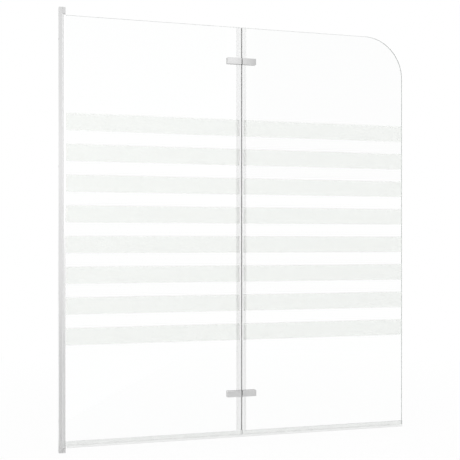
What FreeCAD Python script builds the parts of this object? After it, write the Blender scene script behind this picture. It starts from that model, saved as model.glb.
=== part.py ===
# Folding bath screen: a pane that turns in a wall profile, and a second pane hinged to it.
# X runs from the wall along the screen, Y from its front to its back and Z up, in millimetres.
# The origin is on the wall face, at the middle of the wall profile's length.
import FreeCAD, Part
import os
import Sketcher
from FreeCAD import Placement, Rotation, Vector

SIZES = (
    # Overall
    ("screen_width", 1200.0, "wall face to the free edge of the outer glass"),
    ("profile_length", 1400.0, "length of the wall channel"),
    ("seam_position", 604.5, "wall face to the middle of the fold"),
    # Glass
    ("glass_thickness", 5.0, "thickness of both panes"),
    ("glass_gap", 7.4, "gap between the panes at the fold"),
    ("glass_arris", 0.2, "chamfer round each pane"),
    ("corner_radius", 142.0, "rounded top corner of the outer pane"),
    # Frosted bands
    ("frost_thickness", 0.1, "thickness of the fired-on frosted layer"),
    ("band_height", 55.0, "height of one band"),
    ("band_pitch", 96.8, "distance from band to band"),
    ("band_rise", 314.1, "lower edge of the glass to the lowest band"),
    ("band_hinge_gap", 175.0, "least bare glass from the top band to the upper hinge"),
    ("frost_rod_gap", 0.8, "bare glass between the rod and the bands"),
    ("frost_fold_gap", 2.9, "bare glass between the bands and the fold"),
    ("frost_margin", 0.6, "bare glass at the free end of the bands"),
    # Wall channel
    ("channel_depth", 10.2, "wall face to the lips of the channel"),
    ("channel_width", 17.0, "channel from front to back"),
    ("channel_wall", 1.6, "thickness of the flanges"),
    ("channel_web", 2.0, "thickness of the web on the wall"),
    ("channel_edge", 0.6, "rounding of the lips"),
    ("wall_hole_diameter", 5.0, "holes for the wall screws"),
    ("wall_hole_inset", 100.0, "end of the channel to the nearest wall hole"),
    # Pivot rod and its gasket
    ("pivot_offset", 15.0, "wall face to the axis of the rod"),
    ("rod_diameter", 13.4, "outside of the rod"),
    ("slot_floor", 3.0, "axis back to the floor of the glass slot"),
    ("gasket_leg", 0.6, "gasket on each face of the glass"),
    ("gasket_base", 0.3, "gasket behind the edge of the glass"),
    ("gasket_reach", 5.5, "axis to the lips of the gasket"),
    # Pivot blocks
    ("upper_block_height", 21.1, "height of the upper block"),
    ("lower_block_height", 13.0, "height of the lower block"),
    ("block_reach", 20.4, "wall face to the nose of the blocks"),
    ("block_fit", 0.1, "clearance between a block and the channel"),
    ("block_edge", 0.6, "chamfer on the outer end of a block"),
    ("block_bore_depth", 9.0, "depth of the bearing bore in a block"),
    ("block_screw_inset", 6.0, "wall face to the axis of the block screws"),
    ("block_screw_diameter", 3.0, "shank of a block screw"),
    ("block_screw_length", 6.0, "shank under the head of a block screw"),
    ("block_screw_head_diameter", 5.6, "head of a block screw"),
    ("block_screw_head", 1.8, "height of that head"),
    ("block_socket_radius", 1.15, "corner radius of its hexagon socket"),
    ("block_socket_depth", 1.0, "depth of its hexagon socket"),
    ("screw_fit", 0.05, "radial clearance round each screw"),
    # Bearings and plugs
    ("journal_diameter", 6.0, "journal on a pivot plug"),
    ("journal_length", 9.0, "length of that journal"),
    ("running_fit", 0.05, "radial clearance of a running fit"),
    ("seat_fit", 0.02, "radial clearance of a bush in its seat"),
    ("bush_wall", 1.4, "wall of a pivot bush"),
    ("bush_length", 8.6, "sleeve of a pivot bush"),
    ("bush_flange", 0.8, "thickness of its flange"),
    ("bush_flange_diameter", 10.4, "flange of a pivot bush"),
    ("plug_disc", 1.5, "disc of a pivot plug on the end of the rod"),
    ("upper_play", 0.2, "play over the upper plug"),
    ("upper_tongue", 7.8, "upper plug's tongue in the slot"),
    ("lower_tongue", 7.2, "lower plug's tongue, which carries the glass"),
    ("tongue_reach", 4.4, "axis to the front of the tongues"),
    ("tongue_fit", 0.1, "clearance round the tongues"),
    # Wiper seals
    ("wiper_width", 2.3, "foot of a wiper on its flange"),
    ("wiper_foot", 0.8, "thickness of that foot"),
    ("wiper_nose", 1.9, "nose of a wiper past the lip of the channel"),
    ("wiper_inset", 0.3, "face of the channel back to the face of the nose"),
    ("wiper_gap", 0.3, "wiper tip to the rod"),
    # Bottom seals
    ("seal_fit", 0.15, "seal to the face of the glass"),
    ("drip_wall", 1.1, "leg of a bottom seal"),
    ("drip_leg", 12.7, "height of the front leg on the glass"),
    ("drip_back_leg", 11.0, "height of the back leg on the glass"),
    ("drip_web", 1.2, "web under the edge of the glass"),
    ("drip_drop", 8.1, "edge of the glass down to the front fin's tip"),
    ("drip_back_drop", 5.5, "edge of the glass down to the back fin's tip"),
    ("drip_fin", 1.0, "thickness of the fins"),
    ("drip_flare", 2.0, "how far the front fin stands out"),
    ("drip_clearance", 0.7, "front of the inner bottom seal to the channel, swung open"),
    ("drip_rod_gap", 0.5, "rod to the back of the inner bottom seal"),
    ("drip_joint", 1.2, "gap between the bottom seals under the fold"),
    # Fold seals
    ("inner_fold_leg", 12.8, "legs of the inner fold seal"),
    ("outer_fold_leg", 12.8, "legs of the outer fold seal"),
    ("fold_wall", 1.0, "thickness of those legs"),
    ("fold_web", 1.65, "web over the edge of the glass"),
    ("fold_hinge_gap", 0.5, "fold seal to a hinge"),
    ("fold_foot_gap", 0.3, "fold seal to the bottom seal"),
    ("bulb_gap", 0.3, "bulb to the outer fold seal"),
    ("bulb_wall", 0.8, "wall of the bulb"),
    # Hinges
    ("upper_hinge_drop", 112.4, "top of the glass to the middle of the upper hinge"),
    ("lower_hinge_rise", 135.8, "foot of the glass to the middle of the lower hinge"),
    ("hinge_height", 21.2, "height of a hinge"),
    ("hinge_wing", 50.5, "middle of the fold to the end of a wing"),
    ("hinge_gap", 3.0, "gap between the wings"),
    ("hinge_plate", 5.0, "thickness of a front plate or back leaf"),
    ("hinge_edge", 0.7, "chamfer on the show face"),
    ("hinge_pad", 1.0, "pad between plate and glass"),
    ("pad_inset", 1.0, "pad behind the edge of the plate"),
    ("pin_setback", 10.0, "middle of the glass to the axis of the pin"),
    ("pin_diameter", 5.0, "hinge pin"),
    ("pin_edge", 0.4, "chamfer on the ends of the pin"),
    ("knuckle_diameter", 10.0, "outside of the knuckles"),
    ("knuckle_clearance", 0.4, "radial clearance round the other wing's knuckles"),
    ("middle_knuckle", 7.2, "height of the outer wing's knuckle"),
    ("knuckle_play", 0.4, "axial gap between knuckles"),
    ("knuckle_bush_wall", 1.0, "wall of a knuckle bush"),
    ("knuckle_bush_flange", 0.3, "flange of a knuckle bush"),
    ("knuckle_flange_diameter", 9.0, "flange of a knuckle bush"),
    ("clamp_near", 16.0, "middle of the fold to the nearer clamp screw"),
    ("clamp_far", 38.0, "middle of the fold to the farther clamp screw"),
    ("clamp_diameter", 5.0, "shank of a clamp screw"),
    ("clamp_head_diameter", 9.4, "countersunk head of a clamp screw"),
    ("clamp_thread", 4.0, "thread of a clamp screw in its front plate"),
    ("clamp_socket_radius", 1.75, "corner radius of its hexagon socket"),
    ("clamp_socket_depth", 2.0, "depth of its hexagon socket"),
    ("glass_hole_diameter", 10.0, "hole in the glass for a clamp screw"),
    ("sleeve_fit", 0.2, "radial clearance round a sleeve in the glass"),
    ("sleeve_bore_fit", 0.2, "radial clearance of a screw in its sleeve"),
)
WALL_HOLES = 4
INNER, OUTER = -1, 1

# Places worked out from the sizes, as expressions
FOOT = "(-dims.profile_length / 2)"
HEAD = "(dims.profile_length / 2)"
HALF_CHANNEL = "(dims.channel_width / 2)"
CHANNEL_INSIDE = "(dims.channel_width / 2 - dims.channel_wall)"
ROD_RADIUS = "(dims.rod_diameter / 2)"
HALF_GLASS = "(dims.glass_thickness / 2)"
HALF_SLOT = "(dims.glass_thickness / 2 + dims.gasket_leg)"
LOWER_BLOCK_HEAD = f"({FOOT} + dims.lower_block_height)"
ROD_FOOT = f"({LOWER_BLOCK_HEAD} + dims.bush_flange + dims.plug_disc)"
UPPER_BLOCK_FOOT = f"({HEAD} - dims.upper_block_height)"
ROD_HEAD = f"({UPPER_BLOCK_FOOT} - dims.bush_flange - dims.upper_play - dims.plug_disc)"
GLASS_FOOT = f"({ROD_FOOT} + dims.lower_tongue)"
GLASS_HEIGHT = f"({ROD_HEAD} - {GLASS_FOOT})"
INNER_START = "(dims.pivot_offset - dims.slot_floor + dims.gasket_base)"
INNER_END = "(dims.seam_position - dims.glass_gap / 2)"
OUTER_START = "(dims.seam_position + dims.glass_gap / 2)"
BUSH_RADIUS = "(dims.journal_diameter / 2 + dims.running_fit + dims.bush_wall)"
HINGE_FACE = f"({HALF_GLASS} + dims.hinge_pad)"
HINGE_BACK = f"({HINGE_FACE} + dims.hinge_plate)"
CLAMP_HOLE = "(dims.clamp_diameter / 2 + dims.screw_fit)"
KNUCKLE_RADIUS = "(dims.knuckle_diameter / 2)"
KNUCKLE_BORE = "(dims.pin_diameter / 2 + dims.running_fit + dims.knuckle_bush_wall)"
HINGES = {
    "upper": f"({ROD_HEAD} - dims.upper_hinge_drop)",
    "lower": f"({GLASS_FOOT} + dims.lower_hinge_rise)",
}
WINGS = {"inner": INNER, "outer": OUTER}
CLAMPS = ("dims.clamp_near", "dims.clamp_far")

doc = FreeCAD.newDocument("bath_screen")
sheet = doc.addObject("Spreadsheet::Sheet", "dims")
for row, (alias, number, meaning) in enumerate(SIZES, start=1):
    sheet.set(f"A{row}", meaning)
    sheet.set(f"B{row}", str(number))
    sheet.setAlias(f"B{row}", alias)
doc.recompute()
pieces = []


def number_of(expression):
    return float(sheet.evalExpression(expression))


def new_body(name):
    body = doc.addObject("PartDesign::Body", name)
    body.Label = name
    return body


def place(item, x="0", y="0", z="0", upside_down=False):
    if upside_down:
        item.Placement = Placement(Vector(), Rotation(Vector(1, 0, 0), 180))
    for direction, expression in (("x", x), ("y", y), ("z", z)):
        item.setExpression(f"Placement.Base.{direction}", expression)


def keep(item):
    pieces.append(item)
    return item


def group(name, members):
    compound = doc.addObject("Part::Compound", name)
    compound.Label = name
    compound.Links = members
    return keep(compound)


def new_sketch(body, role, offset=None):
    sketch = body.newObject("Sketcher::SketchObject", "sketch")
    origin_plane = next(f for f in body.Origin.OriginFeatures if f.Role == role)
    sketch.AttachmentSupport = [(origin_plane, "")]
    sketch.MapMode = "FlatFace"
    if offset:
        sketch.setExpression("AttachmentOffset.Base.z", offset)
    return sketch


def fix_point(sketch, geometry, vertex, x, y):
    for kind, axis, expression in (("DistanceX", -2, x), ("DistanceY", -1, y)):
        if expression == "0":
            sketch.addConstraint(Sketcher.Constraint("PointOnObject", geometry, vertex, axis))
            continue
        distance = Sketcher.Constraint(kind, -1, 1, geometry, vertex, number_of(expression))
        index = sketch.addConstraint(distance)
        sketch.setExpression(f"Constraints[{index}]", expression)


def draw_polygon(sketch, points):
    corners = [Vector(number_of(x), number_of(y), 0) for x, y in points]
    first = sketch.GeometryCount
    for start, end in zip(corners, corners[1:] + corners[:1]):
        sketch.addGeometry(Part.LineSegment(start, end), False)
    for i, (x, y) in enumerate(points):
        following = first + (i + 1) % len(points)
        sketch.addConstraint(Sketcher.Constraint("Coincident", first + i, 2, following, 1))
        fix_point(sketch, first + i, 1, x, y)


def draw_rectangle(sketch, x_low, x_high, y_low, y_high):
    draw_polygon(sketch, [(x_low, y_low), (x_high, y_low), (x_high, y_high), (x_low, y_high)])


def draw_circle(sketch, x, y, radius):
    middle = Vector(number_of(x), number_of(y), 0)
    circle = sketch.addGeometry(Part.Circle(middle, Vector(0, 0, 1), number_of(radius)), False)
    index = sketch.addConstraint(Sketcher.Constraint("Radius", circle, number_of(radius)))
    sketch.setExpression(f"Constraints[{index}]", radius)
    fix_point(sketch, circle, 3, x, y)


def draw_hexagon(sketch, radius):
    turned = range(15, 375, 60)
    draw_polygon(sketch, [(f"cos({a}) * {radius}", f"sin({a}) * {radius}") for a in turned])


def pad(body, sketch, length, reverse=False, symmetric=False):
    feature = body.newObject("PartDesign::Pad", "pad")
    feature.Profile = sketch
    feature.setExpression("Length", length)
    feature.Reversed = reverse
    feature.SideType = "Symmetric" if symmetric else "One side"
    return feature


def pocket(body, sketch, length, reverse=False, symmetric=False):
    doc.recompute()
    before = body.Shape.Volume
    feature = body.newObject("PartDesign::Pocket", "pocket")
    feature.Profile = sketch
    feature.setExpression("Length", length)
    feature.Reversed = reverse
    feature.SideType = "Symmetric" if symmetric else "One side"
    doc.recompute()
    if not body.Shape.Volume < before:
        raise RuntimeError(f"{body.Label}: a pocket cuts nothing")
    return feature


def revolve(body, sketch):
    feature = body.newObject("PartDesign::Revolution", "revolution")
    feature.Profile = sketch
    feature.ReferenceAxis = (sketch, ["V_Axis"])
    feature.Angle = 360.0
    return feature


def dress_edges(body, kind, size, wanted):
    """Fillets or chamfers the edges of the body's last feature that wanted picks."""
    doc.recompute()
    base = body.Tip
    names = [f"Edge{i}" for i, edge in enumerate(base.Shape.Edges, start=1) if wanted(edge)]
    if not names:
        raise RuntimeError(f"{body.Label}: no edge to dress")
    feature = body.newObject(f"PartDesign::{kind}", kind.lower())
    feature.Base = (base, names)
    feature.setExpression("Radius" if kind == "Fillet" else "Size", size)
    return feature


def near(a, b):
    return abs(a - b) < 1e-4


def flat_in(edge, direction, level):
    """Whether the whole edge lies at one level along X, Y or Z."""
    box = edge.BoundBox
    return near(getattr(box, direction + "Min"), level) and near(getattr(box, direction + "Max"), level)


def is_circle(edge):
    return isinstance(edge.Curve, Part.Circle)


# Wall frame


def make_wall_channel():
    body = keep(new_body("wall_channel"))
    section = new_sketch(body, "XY_Plane")
    lip, wide, inside = "dims.channel_depth", HALF_CHANNEL, CHANNEL_INSIDE
    draw_polygon(section, [
        ("0", f"-{wide}"), (lip, f"-{wide}"), (lip, f"-{inside}"), ("dims.channel_web", f"-{inside}"),
        ("dims.channel_web", inside), (lip, inside), (lip, wide), ("0", wide),
    ])
    pad(body, section, "dims.profile_length")
    lip_x, wide_y = number_of(lip), number_of(wide)
    dress_edges(body, "Fillet", "dims.channel_edge", lambda edge: (
        flat_in(edge, "X", lip_x) and near(abs(edge.CenterOfMass.y), wide_y)
        and not flat_in(edge, "Z", edge.CenterOfMass.z)
    ))
    wall_holes = new_sketch(body, "YZ_Plane")
    pitch = f"(dims.profile_length - 2 * dims.wall_hole_inset) / {WALL_HOLES - 1}"
    for i in range(WALL_HOLES):
        height = f"dims.wall_hole_inset + {i} * {pitch}"
        draw_circle(wall_holes, "0", height, "dims.wall_hole_diameter / 2")
    pocket(body, wall_holes, "dims.channel_web * 2", symmetric=True)
    screw_holes = new_sketch(body, "XZ_Plane")
    hole = "dims.block_screw_diameter / 2 + dims.screw_fit"
    draw_circle(screw_holes, "dims.block_screw_inset", "dims.lower_block_height / 2", hole)
    upper = "dims.profile_length - dims.upper_block_height / 2"
    draw_circle(screw_holes, "dims.block_screw_inset", upper, hole)
    pocket(body, screw_holes, "dims.channel_width")
    place(body, z=FOOT)


def make_pivot_block(name, height, level, up):
    """An end block: its tail fits the channel and its nose covers the rod's end."""
    body = keep(new_body(name))
    section = new_sketch(body, "XY_Plane")
    tail, nose = f"({CHANNEL_INSIDE} - dims.block_fit)", HALF_CHANNEL
    back, shoulder = "dims.channel_web + dims.block_fit", "dims.channel_depth + dims.block_fit"
    reach = "dims.block_reach"
    draw_polygon(section, [
        (back, f"-{tail}"), (shoulder, f"-{tail}"), (shoulder, f"-{nose}"), (reach, f"-{nose}"),
        (reach, nose), (shoulder, nose), (shoulder, tail), (back, tail),
    ])
    pad(body, section, height, reverse=not up)
    outer_end = number_of(height) if up else -number_of(height)
    shoulder_x = number_of(shoulder)
    dress_edges(body, "Chamfer", "dims.block_edge", lambda edge: (
        flat_in(edge, "Z", outer_end) and edge.BoundBox.XMax > shoulder_x + 1e-3
        and not flat_in(edge, "X", shoulder_x)
    ))
    bore = new_sketch(body, "XY_Plane")
    draw_circle(bore, "dims.pivot_offset", "0", f"{BUSH_RADIUS} + dims.seat_fit")
    pocket(body, bore, "dims.block_bore_depth", reverse=up)
    screw_hole = new_sketch(body, "XZ_Plane")
    middle = f"{height} / 2" if up else f"-{height} / 2"
    hole = "dims.block_screw_diameter / 2 + dims.screw_fit"
    draw_circle(screw_hole, "dims.block_screw_inset", middle, hole)
    pocket(body, screw_hole, "dims.channel_width")
    place(body, z=level)


def make_pivot_bush(name, level, upside_down):
    body = keep(new_body(name))
    section = new_sketch(body, "XZ_Plane")
    bore = "dims.journal_diameter / 2 + dims.running_fit"
    flange, top = "dims.bush_flange_diameter / 2", "dims.bush_flange + dims.bush_length"
    draw_polygon(section, [
        (bore, "0"), (flange, "0"), (flange, "dims.bush_flange"),
        (BUSH_RADIUS, "dims.bush_flange"), (BUSH_RADIUS, top), (bore, top),
    ])
    revolve(body, section)
    place(body, "dims.pivot_offset", "0", level, upside_down)


def make_block_screws():
    levels = (f"{FOOT} + dims.lower_block_height / 2", f"{HEAD} - dims.upper_block_height / 2")
    screws = []
    for i, level in enumerate(levels, start=1):
        body = new_body(f"block_screw_{i}")
        section = new_sketch(body, "XY_Plane")
        shank, head = "dims.block_screw_diameter / 2", "dims.block_screw_head_diameter / 2"
        crown = "dims.block_screw_head"
        draw_polygon(section, [
            ("0", "-dims.block_screw_length"), (shank, "-dims.block_screw_length"), (shank, "0"),
            (head, "0"), (head, f"{crown} / 2"), (f"{head} - {crown} / 2", crown), ("0", crown),
        ])
        revolve(body, section)
        socket = new_sketch(body, "XZ_Plane", "-dims.block_screw_head")
        draw_hexagon(socket, "dims.block_socket_radius")
        pocket(body, socket, "dims.block_socket_depth", reverse=True)
        place(body, "dims.block_screw_inset", HALF_CHANNEL, level)
        screws.append(body)
    group("pivot_block_screws", screws)


def make_wiper_seal(name, side):
    """A soft strip with a foot inside one flange and a nose past its lip, just off the rod."""
    body = keep(new_body(name))
    section = new_sketch(body, "XY_Plane")
    lip, tip = "dims.channel_depth", "(dims.channel_depth + dims.wiper_nose)"
    heel = f"{lip} - dims.wiper_width"
    swing = f"({ROD_RADIUS} + dims.wiper_gap)"
    tip_y = f"{side} * sqrt({swing} ^ 2 - (dims.pivot_offset - {tip}) ^ 2)"
    flange_y = f"{side} * {CHANNEL_INSIDE}"
    nose_y = f"{side} * ({HALF_CHANNEL} - dims.wiper_inset)"
    draw_polygon(section, [
        (heel, flange_y), (lip, flange_y), (lip, nose_y), (tip, nose_y), (tip, tip_y),
        (heel, f"{side} * ({CHANNEL_INSIDE} - dims.wiper_foot)"),
    ])
    length = "dims.profile_length - dims.upper_block_height - dims.lower_block_height"
    pad(body, section, length)
    place(body, z=LOWER_BLOCK_HEAD)


# Inner panel


def make_pivot_rod():
    body = keep(new_body("pivot_rod"))
    section = new_sketch(body, "XY_Plane")
    draw_circle(section, "0", "0", ROD_RADIUS)
    pad(body, section, f"{ROD_HEAD} - {ROD_FOOT}")
    slot = new_sketch(body, "XY_Plane")
    draw_rectangle(slot, "-dims.slot_floor", "dims.rod_diameter", f"-{HALF_SLOT}", HALF_SLOT)
    pocket(body, slot, f"{ROD_HEAD} - {ROD_FOOT}", reverse=True)
    place(body, "dims.pivot_offset", "0", ROD_FOOT)


def make_pivot_plug(name, tongue, level, upside_down):
    """A disc on the rod's end, with a journal outside and a tongue in the glass slot."""
    body = keep(new_body(name))
    disc = new_sketch(body, "XY_Plane")
    draw_circle(disc, "0", "0", ROD_RADIUS)
    pad(body, disc, "dims.plug_disc")
    journal = new_sketch(body, "XY_Plane", "dims.plug_disc")
    draw_circle(journal, "0", "0", "dims.journal_diameter / 2")
    pad(body, journal, "dims.journal_length")
    key = new_sketch(body, "XY_Plane")
    half = f"({HALF_SLOT} - dims.tongue_fit)"
    draw_rectangle(key, "-(dims.slot_floor - dims.tongue_fit)", "dims.tongue_reach", f"-{half}", half)
    pad(body, key, tongue, reverse=True)
    place(body, "dims.pivot_offset", "0", level, upside_down)


def make_glazing_gasket():
    body = keep(new_body("glazing_gasket"))
    section = new_sketch(body, "XY_Plane")
    back, floor = "-dims.slot_floor", "-dims.slot_floor + dims.gasket_base"
    lip = "dims.gasket_reach"
    draw_polygon(section, [
        (back, f"-{HALF_SLOT}"), (lip, f"-{HALF_SLOT}"), (lip, f"-{HALF_GLASS}"), (floor, f"-{HALF_GLASS}"),
        (floor, HALF_GLASS), (lip, HALF_GLASS), (lip, HALF_SLOT), (back, HALF_SLOT),
    ])
    pad(body, section, f"{GLASS_HEIGHT} - dims.upper_tongue - dims.tongue_fit")
    place(body, "dims.pivot_offset", "0", GLASS_FOOT)


# Panes and their bands


def cut_hinge_holes(body, columns):
    holes = new_sketch(body, "XZ_Plane")
    for level in HINGES.values():
        for column in columns:
            draw_circle(holes, column, f"{level} - {GLASS_FOOT}", "dims.glass_hole_diameter / 2")
    pocket(body, holes, "dims.glass_thickness * 2", symmetric=True)


def break_glass_edges(body):
    face = number_of(HALF_GLASS)
    hole = number_of("dims.glass_hole_diameter / 2")

    def wanted(edge):
        on_face = flat_in(edge, "Y", face) or flat_in(edge, "Y", -face)
        return on_face and not (is_circle(edge) and near(edge.Curve.Radius, hole))

    dress_edges(body, "Chamfer", "dims.glass_arris", wanted)


def make_inner_glass():
    """The pane's upper corner in the rod is notched for the plug's tongue."""
    body = keep(new_body("inner_glass"))
    outline = new_sketch(body, "XZ_Plane")
    width = f"({INNER_END} - {INNER_START})"
    notch_x = "dims.tongue_reach + dims.tongue_fit + dims.slot_floor - dims.gasket_base"
    notch_z = f"{GLASS_HEIGHT} - dims.upper_tongue - dims.tongue_fit"
    draw_polygon(outline, [
        ("0", "0"), (width, "0"), (width, GLASS_HEIGHT),
        (notch_x, GLASS_HEIGHT), (notch_x, notch_z), ("0", notch_z),
    ])
    pad(body, outline, "dims.glass_thickness", symmetric=True)
    cut_hinge_holes(body, [f"{width} + dims.glass_gap / 2 - {clamp}" for clamp in CLAMPS])
    break_glass_edges(body)
    place(body, INNER_START, "0", GLASS_FOOT)


def make_outer_glass():
    body = keep(new_body("outer_glass"))
    outline = new_sketch(body, "XZ_Plane")
    width = f"(dims.screen_width - {OUTER_START})"
    draw_rectangle(outline, "0", width, "0", GLASS_HEIGHT)
    pad(body, outline, "dims.glass_thickness", symmetric=True)
    right, top = number_of(width), number_of(GLASS_HEIGHT)
    dress_edges(body, "Fillet", "dims.corner_radius", lambda edge: (
        flat_in(edge, "X", right) and flat_in(edge, "Z", top)
    ))
    doc.recompute()
    cut_hinge_holes(body, [f"{clamp} - dims.glass_gap / 2" for clamp in CLAMPS])
    break_glass_edges(body)
    place(body, OUTER_START, "0", GLASS_FOOT)


def band_count():
    """As many bands as there is room for below the upper hinge."""
    head = f"{HINGES['upper']} - dims.hinge_height / 2 - dims.band_hinge_gap"
    room = number_of(f"{head} - {GLASS_FOOT} - dims.band_rise - dims.band_height")
    return int(room // number_of("dims.band_pitch")) + 1


def make_frost_bands(name, start, end):
    bands = []
    for i in range(band_count()):
        band = doc.addObject("Part::Box", f"{name}_{i + 1}")
        band.setExpression("Length", f"{end} - ({start})")
        band.setExpression("Width", "dims.frost_thickness")
        band.setExpression("Height", "dims.band_height")
        level = f"{GLASS_FOOT} + dims.band_rise + {i} * dims.band_pitch"
        place(band, start, f"-{HALF_GLASS} - dims.frost_thickness", level)
        bands.append(band)
    group(name, bands)


# Seals


def make_bottom_seal(name, start, end, trim=None):
    """A clip over the lower edge of the glass, with a flared front fin and a short back fin.

    Its front may be trimmed, so that it clears the channel when the pane is swung open.
    """
    body = keep(new_body(name))
    section = new_sketch(body, "YZ_Plane")
    face = f"({HALF_GLASS} + dims.seal_fit)"
    skin = f"({face} + dims.drip_wall)"
    leg, back_leg = "dims.drip_leg", "dims.drip_back_leg"
    web, fin = "-dims.drip_web", "dims.drip_fin"
    tip = f"(-{skin} - dims.drip_flare)"
    draw_polygon(section, [
        (f"-{skin}", leg), (f"-{face}", leg), (f"-{face}", "0"),
        (face, "0"), (face, back_leg), (skin, back_leg),
        (skin, "-dims.drip_back_drop"), (f"{skin} - {fin}", "-dims.drip_back_drop"),
        (f"{skin} - {fin}", web), (f"{fin} - {skin}", web),
        (f"{tip} + {fin}", "-dims.drip_drop"), (tip, "-dims.drip_drop"), (f"-{skin}", web),
    ])
    pad(body, section, f"{end} - ({start})")
    if trim:
        front = new_sketch(body, "YZ_Plane")
        low, high = f"-dims.drip_drop - {fin}", f"{leg} + {fin}"
        draw_rectangle(front, f"{tip} - {fin}", f"-{HALF_GLASS}", low, high)
        pocket(body, front, trim, reverse=True)
    place(body, start, "0", GLASS_FOOT)


def fold_spans():
    """The three lengths of fold seal, below, between and above the hinges."""
    half = "dims.hinge_height / 2 + dims.fold_hinge_gap"
    foot = f"{GLASS_FOOT} + dims.drip_leg + dims.fold_foot_gap"
    return {
        "lower": (foot, f"{HINGES['lower']} - ({half})"),
        "middle": (f"{HINGES['lower']} + {half}", f"{HINGES['upper']} - ({half})"),
        "upper": (f"{HINGES['upper']} + {half}", ROD_HEAD),
    }


def make_fold_seal(name, side, leg, edge, bottom, top):
    """A clear clip over one pane's edge at the fold, with its legs on the glass."""
    body = keep(new_body(name))
    section = new_sketch(body, "XY_Plane")
    face = f"({HALF_GLASS} + dims.seal_fit)"
    skin = f"({face} + dims.fold_wall)"
    end, web = f"{side} * {leg}", f"{-side} * dims.fold_web"
    draw_polygon(section, [
        (end, f"-{skin}"), (web, f"-{skin}"), (web, skin), (end, skin),
        (end, face), ("0", face), ("0", f"-{face}"), (end, f"-{face}"),
    ])
    pad(body, section, f"{top} - ({bottom})")
    place(body, edge, "0", bottom)


def make_fold_bulb(name, bottom, top):
    """The soft hollow bulb on the inner fold seal, which closes on the outer one."""
    body = keep(new_body(name))
    width = "(dims.glass_gap - 2 * dims.fold_web - dims.bulb_gap)"
    radius = f"({width} / 2)"
    length = f"{top} - ({bottom})"
    foot = new_sketch(body, "XY_Plane")
    draw_rectangle(foot, "0", radius, f"-{radius}", radius)
    pad(body, foot, length)
    nose = new_sketch(body, "XY_Plane")
    draw_circle(nose, radius, "0", radius)
    pad(body, nose, length)
    hollow = new_sketch(body, "XY_Plane")
    draw_circle(hollow, radius, "0", f"{radius} - dims.bulb_wall")
    pocket(body, hollow, length, reverse=True)
    place(body, f"{INNER_END} + dims.fold_web", "0", bottom)


# Hinges, each drawn about the middle of the fold


def draw_wing(sketch, side):
    half = "dims.hinge_height / 2"
    draw_rectangle(sketch, f"{side} * dims.hinge_gap / 2", f"{side} * dims.hinge_wing", f"-{half}", half)


def draw_clamp_holes(sketch, side, radius):
    for clamp in CLAMPS:
        draw_circle(sketch, f"{side} * {clamp}", "0", radius)


def make_front_plate(name, side, level):
    """A plain show plate whose clamp threads stop inside it."""
    body = keep(new_body(name))
    outline = new_sketch(body, "XZ_Plane", HINGE_FACE)
    draw_wing(outline, side)
    pad(body, outline, "dims.hinge_plate")
    front = -number_of(HINGE_BACK)
    dress_edges(body, "Chamfer", "dims.hinge_edge", lambda edge: flat_in(edge, "Y", front))
    threads = new_sketch(body, "XZ_Plane", HINGE_FACE)
    draw_clamp_holes(threads, side, CLAMP_HOLE)
    pocket(body, threads, "dims.clamp_thread", reverse=True)
    place(body, "dims.seam_position", "0", level)


def countersink(body):
    back, hole = number_of(HINGE_BACK), number_of(CLAMP_HOLE)
    head = "(dims.clamp_head_diameter - dims.clamp_diameter) / 2"
    dress_edges(body, "Chamfer", head, lambda edge: (
        is_circle(edge) and near(edge.Curve.Radius, hole) and flat_in(edge, "Y", back)
    ))


def start_back_leaf(name, side):
    body = keep(new_body(name))
    outline = new_sketch(body, "XZ_Plane", f"-{HINGE_FACE}")
    draw_wing(outline, side)
    pad(body, outline, "dims.hinge_plate", reverse=True)
    back = number_of(HINGE_BACK)
    dress_edges(body, "Chamfer", "dims.hinge_edge", lambda edge: (
        flat_in(edge, "Y", back) and abs(edge.CenterOfMass.x) > number_of("dims.clamp_near")
    ))
    holes = new_sketch(body, "XZ_Plane")
    draw_clamp_holes(holes, side, CLAMP_HOLE)
    pocket(body, holes, f"2 * {HINGE_BACK}", symmetric=True)
    countersink(body)
    return body


def cut_round_pin(body, radius, height):
    circle = new_sketch(body, "XY_Plane")
    draw_circle(circle, "0", "dims.pin_setback", radius)
    pocket(body, circle, height, symmetric=True)


def add_knuckle(body, height):
    circle = new_sketch(body, "XY_Plane")
    draw_circle(circle, "0", "dims.pin_setback", KNUCKLE_RADIUS)
    pad(body, circle, height, symmetric=True)


def make_inner_back_leaf(name, level):
    """Carries the upper and lower knuckles, which grip the pin."""
    body = start_back_leaf(name, INNER)
    add_knuckle(body, "dims.hinge_height")
    clear = f"{KNUCKLE_RADIUS} + dims.knuckle_clearance"
    cut_round_pin(body, clear, "dims.middle_knuckle + 2 * dims.knuckle_play")
    cut_round_pin(body, "dims.pin_diameter / 2 + dims.seat_fit", "dims.hinge_height * 2")
    place(body, "dims.seam_position", "0", level)


def make_outer_back_leaf(name, level):
    """Carries the middle knuckle, which turns on the pin in two bushes."""
    body = start_back_leaf(name, OUTER)
    cut_round_pin(body, f"{KNUCKLE_RADIUS} + dims.knuckle_clearance", "dims.hinge_height * 2")
    web = new_sketch(body, "XY_Plane")
    draw_rectangle(web, "dims.hinge_gap / 2", "dims.knuckle_diameter", HINGE_FACE, HINGE_BACK)
    pad(body, web, "dims.middle_knuckle", symmetric=True)
    add_knuckle(body, "dims.middle_knuckle")
    cut_round_pin(body, f"{KNUCKLE_BORE} + dims.seat_fit", "dims.hinge_height * 2")
    place(body, "dims.seam_position", "0", level)


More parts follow.
